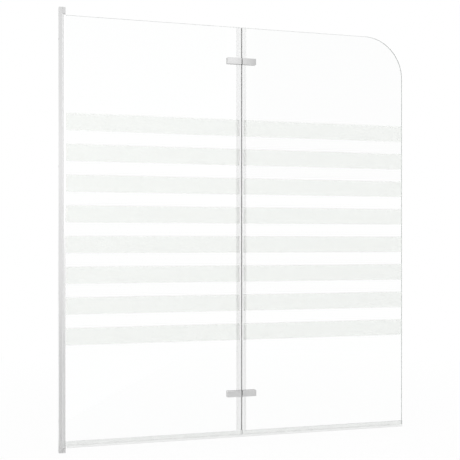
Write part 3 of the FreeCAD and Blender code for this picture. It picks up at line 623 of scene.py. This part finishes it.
def clear_drip_plastic(sizes):
    """Clear plastic that turns milky in the soft fins below the glass."""
    material = clear_plastic("clear_drip_plastic", sizes.drip_deep, sizes.drip_pale)
    tree = material.node_tree
    start = sizes.fin_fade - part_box("inner_glass")[0].z
    end = -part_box("inner_bottom_seal")[0].z
    down = add_measure(tree, "DOT_PRODUCT", -UP)
    tint_towards(material, sizes.fin_tint, add_fade(tree, down, start, end))
    return material


def dress(node, material):
    """Gives a carried-over CAD node its material."""
    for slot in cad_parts[node].material_slots:
        slot.material = material


# Shapes


def make_object(shape, name, material):
    """Makes an object of the shape."""
    mesh = bpy.data.meshes.new(name)
    shape.to_mesh(mesh)
    shape.free()
    mesh.materials.append(material)
    made = bpy.data.objects.new(name, mesh)
    bpy.context.scene.collection.objects.link(made)
    return made


def finish_piece(shape, name, material, body, slot, *nodes):
    """Makes a piece of the shape, and lets it ride on its body in place of the nodes."""
    bmesh.ops.recalc_face_normals(shape, faces=shape.faces)
    piece = make_object(shape, name, material)
    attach(piece, body)
    if nodes:
        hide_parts(*nodes)
    return piece


def verts_of(items):
    """The vertices among what an operator made."""
    return [item for item in items if isinstance(item, bmesh.types.BMVert)]


def edges_of(items):
    """The edges among what an operator made."""
    return [item for item in items if isinstance(item, bmesh.types.BMEdge)]


def add_outline(shape, points):
    """One face with a corner at each point."""
    return shape.faces.new([shape.verts.new(point) for point in points])


def add_upright(shape, sides, depth, ends):
    """An upright rectangle across the screen, from side to side and from foot to head."""
    left, right = sides
    foot, head = ends
    corners = [(left, foot), (right, foot), (right, head), (left, head)]
    return add_outline(shape, [(x, depth, z) for x, z in corners])


def bevel(shape, geometry, radius, affect, segments=BEVEL_SEGMENTS):
    """Rounds corners or edges."""
    bmesh.ops.bevel(
        shape, geom=geometry, offset=radius, offset_type="OFFSET", segments=segments, profile=0.5,
        affect=affect, material=-1, clamp_overlap=True,
    )


def push(shape, faces, move, keep=True):
    """Extrudes faces; the ones that are kept close the solid where it starts."""
    pushed = bmesh.ops.extrude_face_region(shape, geom=faces, use_keep_orig=keep)
    bmesh.ops.translate(shape, verts=verts_of(pushed["geom"]), vec=move)


# Pieces


class BATHSCREEN_OT_hardware(bpy.types.Operator):
    """Finishes the metal, plastic and rubber pieces of the frame and the hinges"""

    bl_idname = "bath_screen.hardware"
    bl_label = "Finish hardware"

    def execute(self, context):
        leaves = [f"{level}_{wing}" for level in LEVELS for wing in WINGS]
        bearings = ("pivot_bush", "pivot_plug", "knuckle_bushes")
        finishes = {
            anodised_aluminium: ["wall_channel"],
            bright_rod_aluminium: ["pivot_rod"],
            satin_block: [f"{level}_pivot_block" for level in LEVELS],
            mirror_chrome: [f"{leaf}_back_leaf" for leaf in leaves],
            turned_steel: ["pivot_block_screws"]
            + [f"{leaf}_screws" for leaf in leaves]
            + [f"{level}_hinge_pin" for level in LEVELS],
            bearing_nylon: [f"{level}_{bearing}" for level in LEVELS for bearing in bearings],
            milky_gasket: ["glazing_gasket"]
            + [f"{leaf}_{bedding}" for leaf in leaves for bedding in ("pads", "sleeves")],
            gap_shade_rubber: [f"fold_bulb_{span}" for span in SPANS],
            wiper_painted_highlight: ["front_wiper_seal", "back_wiper_seal"],
        }
        for make_material, nodes in finishes.items():
            material = make_material(settings().hardware)
            for node in nodes:
                dress(node, material)
        return {"FINISHED"}


class BATHSCREEN_OT_front_plates(bpy.types.Operator):
    """Makes the rounded chrome show plates of both hinges"""

    bl_idname = "bath_screen.front_plates"
    bl_label = "Make front plates"

    def execute(self, context):
        sizes = settings().hardware
        for level in LEVELS:
            for wing, body in PANELS.items():
                self.make_plate(sizes, f"{level}_{wing}_front_plate", body)
        return {"FINISHED"}

    def make_plate(self, sizes, node, body):
        """A plate with round corners, whose front edge is rounded over to a flat face."""
        low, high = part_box(node)
        shape = bmesh.new()
        outline = add_upright(shape, (low.x, high.x), high.y, (low.z, high.z))
        bevel(shape, outline.verts[:], sizes.plate_corner, "VERTICES")
        push(shape, shape.faces[:], BACK * (low.y - high.y))
        bmesh.ops.recalc_face_normals(shape, faces=shape.faces)
        bevel(shape, self.front_face(shape).edges[:], sizes.plate_edge, "EDGES")
        front = self.front_face(shape)
        bmesh.ops.inset_region(shape, faces=[front], thickness=sizes.plate_rim, use_even_offset=True)
        chrome = bpy.data.materials["mirror_chrome"]
        piece = finish_piece(shape, f"{node}_rounded", chrome, body, "polished_chrome", node)
        piece.data.shade_smooth()
        piece.data.set_sharp_from_angle(angle=SHARP_TURN)
        # The flat face mirrors as a flat one
        flat = min(piece.data.polygons, key=lambda face: (round(face.center.y, PLACE_DIGITS), -face.area))
        flat.use_smooth = False

    def front_face(self, shape):
        """The face that lies furthest to the front."""
        return min(shape.faces, key=lambda face: face.calc_center_median().y)


class BATHSCREEN_OT_glass(bpy.types.Operator):
    """Finishes both panes and lays in their ground edges"""

    bl_idname = "bath_screen.glass"
    bl_label = "Finish glass"

    def execute(self, context):
        sizes = settings().glass
        glass = clear_toughened_glass(sizes)
        for wing in WINGS:
            dress(f"{wing}_glass", glass)
        self.ground = ground_glass_edge(sizes)
        self.make_inner_edge(sizes)
        self.make_outer_edge(sizes)
        return {"FINISHED"}

    def start_edge(self, flat, x, z):
        """Starts a ground layer with a line across the thickness of the glass."""
        shape = bmesh.new()
        half = flat / 2
        line = shape.edges.new([shape.verts.new((x, -half, z)), shape.verts.new((x, half, z))])
        return shape, [line]

    def run_edge(self, shape, line, move):
        """Carries the ground layer on along a straight edge of the glass."""
        pushed = bmesh.ops.extrude_edge_only(shape, edges=line)["geom"]
        far = verts_of(pushed)
        bmesh.ops.translate(shape, verts=far, vec=move)
        return [edge for edge in edges_of(pushed) if all(vert in far for vert in edge.verts)]

    def close_edge(self, sizes, shape, name, body):
        """Gives the ground layer its thickness."""
        bmesh.ops.recalc_face_normals(shape, faces=shape.faces)
        bmesh.ops.solidify(shape, geom=shape.faces[:], thickness=sizes.edge_layer)
        finish_piece(shape, name, self.ground, body, "clear_glass")

    def make_inner_edge(self, sizes):
        """The top of the inner pane, from the pivot rod to the fold."""
        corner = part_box("inner_glass")[1]
        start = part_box("pivot_rod")[1].x + sizes.rod_gap
        shape, line = self.start_edge(sizes.edge_flat, start, corner.z - sizes.edge_inset)
        self.run_edge(shape, line, ALONG * (corner.x - sizes.end_gap - start))
        self.close_edge(sizes, shape, "inner_glass_ground_edge", "inner_panel")

    def make_outer_edge(self, sizes):
        """The top of the outer pane, its round corner and its free side."""
        low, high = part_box("outer_glass")
        points = [vert.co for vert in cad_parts["outer_glass"].data.vertices]
        turn = max(point.x for point in points if round(high.z - point.z, PLACE_DIGITS) == 0.0)
        radius = high.x - turn
        start = low.x + sizes.end_gap
        shape, line = self.start_edge(sizes.edge_flat, start, high.z - sizes.edge_inset)
        line = self.run_edge(shape, line, ALONG * (turn - start))
        top = shape.verts[:]
        spun = bmesh.ops.spin(
            shape, geom=line + list(line[0].verts), cent=(turn, 0.0, high.z - radius), axis=BACK,
            angle=QUARTER_TURN, steps=CORNER_STEPS, use_duplicate=False,
        )
        drop = high.z - radius - low.z - sizes.end_gap
        self.run_edge(shape, edges_of(spun["geom_last"]), UP * -drop)
        # The ground edge widens at the corner and the free side, and lies deeper in the glass at the side
        rest = [vert for vert in shape.verts if vert not in top]
        bmesh.ops.scale(shape, verts=rest, vec=(1.0, sizes.side_flat / sizes.edge_flat, 1.0))
        side = [vert for vert in rest if vert.co.x > turn + radius / 2]
        bmesh.ops.translate(shape, verts=side, vec=ALONG * (sizes.edge_inset - sizes.side_inset))
        self.close_edge(sizes, shape, "outer_glass_ground_edge", "outer_panel")


class BATHSCREEN_OT_frost_bands(bpy.types.Operator):
    """Makes the frosted stripes of both panes"""

    bl_idname = "bath_screen.frost_bands"
    bl_label = "Make frosted stripes"

    def execute(self, context):
        sizes = settings().glass
        self.frost = fired_frost(sizes)
        for wing, body in PANELS.items():
            self.make_bands(sizes, f"{wing}_frost_bands", body)
        return {"FINISHED"}

    def make_bands(self, sizes, node, body):
        """A thin layer for each stripe, just clear of the glass."""
        low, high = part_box(node)
        shape = bmesh.new()
        for ends in self.band_ends(node):
            band = add_upright(shape, (low.x, high.x), high.y - sizes.frost_gap, ends)
            push(shape, [band], BACK * -sizes.frost_layer)
        finish_piece(shape, f"{node}_print", self.frost, body, "frosted_print", node)

    def band_ends(self, node):
        """Lower and upper edge of each stripe of the node."""
        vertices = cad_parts[node].data.vertices
        heights = sorted({round(vert.co.z, PLACE_DIGITS) for vert in vertices})
        return list(zip(heights[0::2], heights[1::2]))


class BATHSCREEN_OT_fold_seals(bpy.types.Operator):
    """Makes the clear clips along the fold"""

    bl_idname = "bath_screen.fold_seals"
    bl_label = "Make fold seals"

    def execute(self, context):
        sizes = settings().seals
        self.plastic = clear_fold_plastic(sizes)
        for wing in WINGS:
            for span in SPANS:
                self.make_clip(sizes, wing, f"{wing}_fold_seal_{span}")
        return {"FINISHED"}

    def make_clip(self, sizes, wing, node):
        """Two legs on the faces of the glass, joined by a web at the fold."""
        low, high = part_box(node)
        inside = sizes.fold_web - sizes.glass_gap
        if wing == "inner":
            tip, web, floor = low.x, high.x - sizes.joint_gap, high.x - inside
        else:
            tip, web, floor = high.x, low.x + sizes.joint_gap, low.x + inside
        skin, face = high.y, high.y - sizes.fold_wall
        shape = bmesh.new()
        section = add_outline(shape, [
            (tip, -skin, low.z), (web, -skin, low.z), (web, skin, low.z), (tip, skin, low.z),
            (tip, face, low.z), (floor, face, low.z), (floor, -face, low.z), (tip, -face, low.z),
        ])
        lips = [vert for vert in section.verts if abs(vert.co.x - tip) < sizes.corner]
        roots = [vert for vert in section.verts if abs(vert.co.x - floor) < sizes.corner]
        bevel(shape, lips, sizes.corner, "VERTICES")
        bevel(shape, roots, sizes.fold_fill, "VERTICES", segments=1)
        push(shape, shape.faces[:], UP * (high.z - low.z))
        finish_piece(shape, f"{node}_clip", self.plastic, PANELS[wing], "clear_seal", node)


class BATHSCREEN_OT_bottom_seals(bpy.types.Operator):
    """Makes the clear drip seals under both panes"""

    bl_idname = "bath_screen.bottom_seals"
    bl_label = "Make bottom seals"

    def execute(self, context):
        sizes = settings().seals
        self.plastic = clear_drip_plastic(sizes)
        for wing in WINGS:
            self.make_drip(sizes, wing, f"{wing}_bottom_seal")
        return {"FINISHED"}

    def section_points(self, sizes, low, high, glass_foot):
        """Depth and height of each corner of the section: two legs, a web, and a fin at front and back."""
        skin, fin = high.y, sizes.drip_fin
        face = skin - sizes.drip_wall
        floor, web = glass_foot - sizes.glass_gap, glass_foot - sizes.drip_web
        back, back_head = glass_foot - sizes.drip_back, glass_foot + sizes.drip_back_leg
        return [
            (-skin, high.z), (-face, high.z), (-face, floor),
            (face, floor), (face, back_head), (skin, back_head),
            (skin, back), (skin - fin, back), (skin - fin, web), (fin - skin, web),
            (low.y + fin, low.z), (low.y, low.z), (-skin, web),
        ]

    def make_drip(self, sizes, wing, node):
        """The section drawn along the pane, with its front cut back beside the rod."""
        low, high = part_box(node)
        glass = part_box(f"{wing}_glass")[0]
        if wing == "inner":
            start, end, trim = low.x, high.x - sizes.joint_gap, sizes.drip_trim
        else:
            start, end, trim = low.x + sizes.joint_gap, high.x, 0.0
        front = start + trim
        points = self.section_points(sizes, low, high, glass.z)
        shape = bmesh.new()
        section = add_outline(shape, [(front, y, z) for y, z in points])
        floor = glass.z - sizes.glass_gap
        outside = [vert for vert in section.verts if abs(vert.co.z - floor) > sizes.corner]
        bevel(shape, outside, sizes.corner, "VERTICES")
        if trim:
            split = shape.verts[:] + shape.edges[:] + shape.faces[:]
            bmesh.ops.bisect_plane(shape, geom=split, plane_co=BACK * glass.y, plane_no=BACK)
        caps = shape.faces[:]
        push(shape, caps, ALONG * (end - front))
        if trim:
            behind = max(caps, key=lambda cap: cap.calc_center_median().y)
            push(shape, [behind], ALONG * -trim, keep=False)
        finish_piece(shape, f"{node}_strip", self.plastic, PANELS[wing], "clear_seal", node)


# Studio


class BATHSCREEN_OT_stage(bpy.types.Operator):
    """Sets up the pale floor, the soft lamps, the white background and the camera"""

    bl_idname = "bath_screen.stage"
    bl_label = "Set up studio"

    def execute(self, context):
        studio = settings().studio
        context.scene.view_settings.view_transform = "Standard"
        self.make_floor(studio)
        self.make_background(context, studio)
        left = self.make_lamp("left_soft_lamp", LEFT_LAMP, studio.left_glow)
        left.visible_glossy = False
        self.make_lamp("right_soft_lamp", RIGHT_LAMP, studio.right_glow)
        for card in CARDS:
            self.make_card(card)
        self.make_camera(context, studio)
        return {"FINISHED"}

    def make_floor(self, studio):
        """A wide square under the screen."""
        shape = bmesh.new()
        bmesh.ops.create_grid(shape, x_segments=1, y_segments=1, size=studio.floor_half)
        bmesh.ops.translate(shape, verts=shape.verts[:], vec=FLOOR_MIDDLE)
        floor = make_object(shape, "studio_floor", self.pale_floor(studio))

    def pale_floor(self, studio):
        """Dull to the light, and white to what looks at it, with the faint shadow of the screen."""
        material = bpy.data.materials.new("pale_floor")
        material.use_nodes = True
        tree = material.node_tree
        shader = tree.nodes["Principled BSDF"]
        shader.inputs["Base Color"].default_value = (*studio.floor_colour, 1.0)
        shader.inputs["Roughness"].default_value = studio.floor_dullness
        shader.inputs["Specular IOR Level"].default_value = studio.floor_shine
        measures = {
            "around": add_measure(tree, "DISTANCE", FLOOR_MIDDLE),
            "ahead": add_measure(tree, "DISTANCE", FLOOR_AHEAD),
            "behind": add_measure(tree, "DOT_PRODUCT", FLOOR_BEHIND),
        }
        rays = tree.nodes.new("ShaderNodeLightPath").outputs
        total = 0.0
        for glow in FLOOR_GLOWS:
            fade = add_fade(tree, measures[glow.measure], glow.start, glow.end, first=glow.near)
            total = add_math(tree, "MAXIMUM", total, add_math(tree, "MULTIPLY", rays[glow.ray], fade))
        blend_glow(tree, total, shader.outputs["BSDF"], strength=1.0)
        return material

    def make_background(self, context, studio):
        """White to the camera and through glass, dimmer to dull surfaces, a shaded wall to bright ones."""
        world = bpy.data.worlds.new("white_studio")
        context.scene.world = world
        world.use_nodes = True
        tree = world.node_tree
        background = tree.nodes["Background"]
        background.inputs["Color"].default_value = (1.0, 1.0, 1.0, 1.0)
        rays = tree.nodes.new("ShaderNodeLightPath").outputs
        seen = add_math(tree, "MAXIMUM", rays["Is Camera Ray"], rays["Is Transmission Ray"])
        level = add_fade(tree, seen, 0.0, 1.0, first=studio.room_glow)
        behind = add_math(tree, "MULTIPLY", rays["Is Transmission Ray"], rays["Diffuse Depth"], clamp=True)
        room = add_math(tree, "MULTIPLY_ADD", behind, studio.pane_glow, level)
        choose = tree.nodes.new("ShaderNodeMix")
        tree.links.new(mirrored_rays(tree), choose.inputs["Factor"])
        tree.links.new(room, choose.inputs["A"])
        tree.links.new(self.wall_shade(tree, studio), choose.inputs["B"])
        tree.links.new(choose.outputs["Result"], background.inputs["Strength"])

    def wall_shade(self, tree, studio):
        """Studio wall in reflections: brightest just over the horizon, greyer above and below."""
        slope = add_measure(tree, "DOT_PRODUCT", UP, space="Generated")
        total = studio.wall_glow
        for shade in WALL_FADES:
            fade = add_fade(tree, slope, shade.start, shade.end, first=1.0, last=shade.kept)
            total = add_math(tree, "MULTIPLY", total, fade)
        return total

    def make_lamp(self, name, lamp, glow):
        """A lamp of a given radiance, which neither the camera nor a ray through glass sees."""
        light = bpy.data.lights.new(name, "AREA")
        light.shape = "RECTANGLE"
        light.size = lamp.width
        light.size_y = lamp.height
        light.energy = glow * math.pi * lamp.width * lamp.height
        holder = bpy.data.objects.new(name, light)
        bpy.context.scene.collection.objects.link(holder)
        holder.location = lamp.place
        holder.rotation_euler = (QUARTER_TURN, 0.0, math.radians(lamp.bearing))
        holder.visible_camera = False
        holder.visible_transmission = False
        return holder

    def make_card(self, card):
        """A card that only bright surfaces see."""
        shape = bmesh.new()
        add_upright(shape, card.sides, card.depth, card.ends)
        made = make_object(shape, card.name, self.shaded_card(card))
        made.visible_camera = False
        made.visible_diffuse = False
        made.visible_shadow = False

    def shaded_card(self, card):
        """A glow that fades along the card, and is clear to all but mirrored rays."""
        material = bpy.data.materials.new(f"shaded_{card.name}")
        material.use_nodes = True
        tree = material.node_tree
        along = add_measure(tree, "DOT_PRODUCT", ALONG)
        strength = add_fade(tree, along, *card.fade, *card.glows, smooth=True)
        clear = tree.nodes.new("ShaderNodeBsdfTransparent")
        blend_glow(tree, mirrored_rays(tree), clear.outputs["BSDF"], strength)
        return material

    def make_camera(self, context, studio):
        """A level camera at the viewing angle of the photo."""
        camera = bpy.data.cameras.new("photo_camera")
        camera.lens = studio.lens
        camera.sensor_width = studio.sensor
        camera.shift_y = studio.rise
        holder = bpy.data.objects.new("photo_camera", camera)
        context.scene.collection.objects.link(holder)
        holder.location = studio.eye
        holder.rotation_euler = (QUARTER_TURN, 0.0, -studio.turn)
        context.scene.camera = holder


# Sidebar and registration


class BATHSCREEN_PT_sidebar(bpy.types.Panel):
    """Lists the steps that dress the bath screen"""

    bl_label = "Bath screen"
    bl_idname = "BATHSCREEN_PT_sidebar"
    bl_space_type = "VIEW_3D"
    bl_region_type = "UI"
    bl_category = "Bath screen"

    def draw(self, context):
        for step in STEPS:
            self.layout.operator(step.bl_idname)
        for group in (settings().glass, settings().seals, settings().hardware, settings().studio):
            box = self.layout.box()
            for title in group.__annotations__:
                box.prop(group, title)


STEPS = (
    BATHSCREEN_OT_stage,
    BATHSCREEN_OT_hardware,
    BATHSCREEN_OT_front_plates,
    BATHSCREEN_OT_glass,
    BATHSCREEN_OT_frost_bands,
    BATHSCREEN_OT_fold_seals,
    BATHSCREEN_OT_bottom_seals,
)
CLASSES = (
    BathScreenGlass,
    BathScreenSeals,
    BathScreenHardware,
    BathScreenStudio,
    BathScreenSettings,
) + STEPS + (BATHSCREEN_PT_sidebar,)


def register():
    """Adds the settings, the steps and the sidebar."""
    for cls in CLASSES:
        bpy.utils.register_class(cls)
    bpy.types.Scene.bath_screen = PointerProperty(type=BathScreenSettings)


def unregister():
    """Takes the settings, the steps and the sidebar out again."""
    del bpy.types.Scene.bath_screen
    for cls in reversed(CLASSES):
        bpy.utils.unregister_class(cls)


def main():
    """Dresses the screen step by step."""
    register()
    bpy.ops.bath_screen.stage()
    bpy.ops.bath_screen.hardware()
    bpy.ops.bath_screen.front_plates()
    bpy.ops.bath_screen.glass()
    bpy.ops.bath_screen.frost_bands()
    bpy.ops.bath_screen.fold_seals()
    bpy.ops.bath_screen.bottom_seals()


if __name__ == "__main__":
    main()
